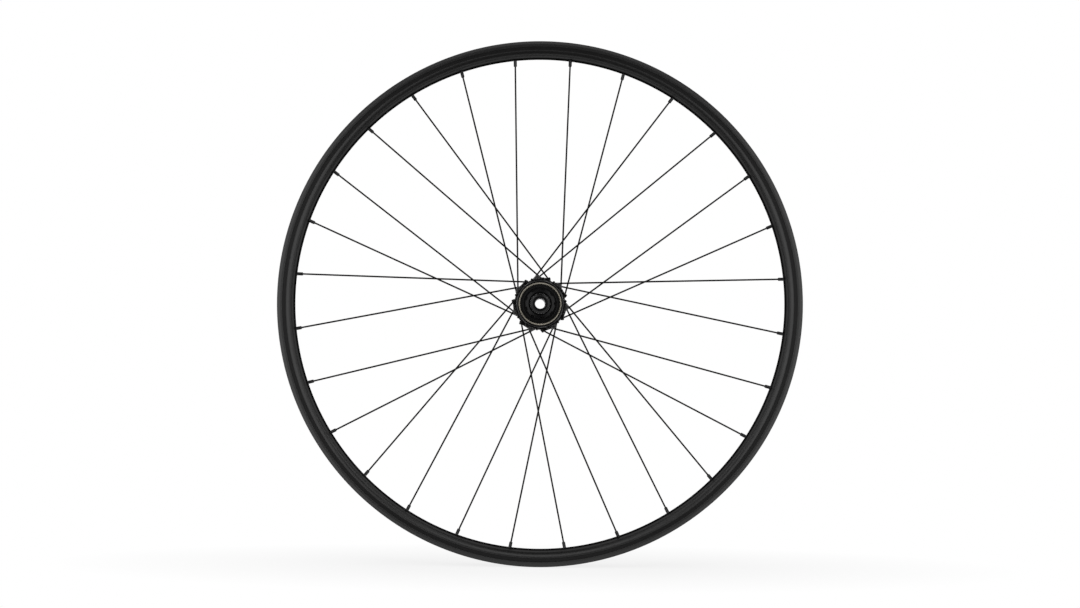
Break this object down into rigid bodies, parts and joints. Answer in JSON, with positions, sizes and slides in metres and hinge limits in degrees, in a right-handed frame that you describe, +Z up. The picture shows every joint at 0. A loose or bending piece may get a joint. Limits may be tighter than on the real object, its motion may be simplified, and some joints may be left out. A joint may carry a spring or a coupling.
{
  "type": "bicycle rear wheel",
  "caption": "Spoked rear bicycle wheel with a wide hollow rim, straight-pull spokes, disc hub and a splined freewheeling freehub on a through axle.",
  "frame": {"origin": "centre of the wheel, on the axle line midway between the two end faces", "axes": "+Y along the axle towards the brake disc side, -Y the drive side, +Z up through the valve hole"},
  "size_m": [0.6337, 0.148, 0.6338],
  "materials": {
    "rim": "satin black moulded carbon-fibre composite",
    "spoke": "satin black",
    "nipple": "black anodised",
    "hub": "satin black anodised",
    "freehub": "dark hard-anodised",
    "end_cap": "black anodised",
    "axle": "turned",
    "drive_ring": "bare turned",
    "bearing": "ground",
    "pawl": "hardened",
    "seal": "matt"
  },
  "bodies": {
    "axle_set": {"axle": "axle", "axle_spacer": "axle", "freehub_sleeve": "axle", "drive_end_cap": "end_cap", "disc_end_cap": "end_cap", "drive_hub_bearing_inner": "bearing", "disc_hub_bearing_inner": "bearing", "inner_freehub_bearing_inner": "bearing", "outer_freehub_bearing_inner": "bearing"},
    "wheel": {"rim": "rim", "spoke_drive_01": "spoke", "spoke_drive_02": "spoke", "spoke_drive_03": "spoke", "spoke_drive_04": "spoke", "spoke_drive_05": "spoke", "spoke_drive_06": "spoke", "spoke_drive_07": "spoke", "spoke_drive_08": "spoke", "spoke_drive_09": "spoke", "spoke_drive_10": "spoke", "spoke_drive_11": "spoke", "spoke_drive_12": "spoke", "spoke_drive_13": "spoke", "spoke_drive_14": "spoke", "spoke_disc_01": "spoke", "spoke_disc_02": "spoke", "spoke_disc_03": "spoke", "spoke_disc_04": "spoke", "spoke_disc_05": "spoke", "spoke_disc_06": "spoke", "spoke_disc_07": "spoke", "spoke_disc_08": "spoke", "spoke_disc_09": "spoke", "spoke_disc_10": "spoke", "spoke_disc_11": "spoke", "spoke_disc_12": "spoke", "spoke_disc_13": "spoke", "spoke_disc_14": "spoke", "nipples": "nipple", "hub_shell": "hub", "drive_ring": "drive_ring", "drive_hub_bearing_outer": "bearing", "drive_hub_bearing_seals": "seal", "disc_hub_bearing_outer": "bearing", "disc_hub_bearing_seals": "seal"},
    "freehub": {"freehub_body": "freehub", "freehub_seal": "seal", "pawl_spring": "pawl", "inner_freehub_bearing_outer": "bearing", "inner_freehub_bearing_seals": "seal", "outer_freehub_bearing_outer": "bearing", "outer_freehub_bearing_seals": "seal"},
    "pawl_1_body": {"pawl_1": "pawl"},
    "pawl_2_body": {"pawl_2": "pawl"},
    "pawl_3_body": {"pawl_3": "pawl"}
  },
  "joints": [
    {"name": "wheel_spin", "type": "hinge", "parent": "axle_set", "child": "wheel", "pos_m": [0, 0, 0], "axis": [0, 1, 0], "continuous": true},
    {"name": "freehub_spin", "type": "hinge", "parent": "axle_set", "child": "freehub", "pos_m": [0, 0, 0], "axis": [0, 1, 0], "continuous": true},
    {"name": "pawl_1_swing", "type": "hinge", "parent": "freehub", "child": "pawl_1_body", "pos_m": [0, -0.0235, 0.0176], "axis": [0, -1, 0], "range_deg": [0, 15]},
    {"name": "pawl_2_swing", "type": "hinge", "parent": "freehub", "child": "pawl_2_body", "pos_m": [-0.01524, -0.0235, -0.0088], "axis": [0, -1, 0], "range_deg": [0, 15]},
    {"name": "pawl_3_swing", "type": "hinge", "parent": "freehub", "child": "pawl_3_body", "pos_m": [0.01524, -0.0235, -0.0088], "axis": [0, -1, 0], "range_deg": [0, 15]}
  ]
}
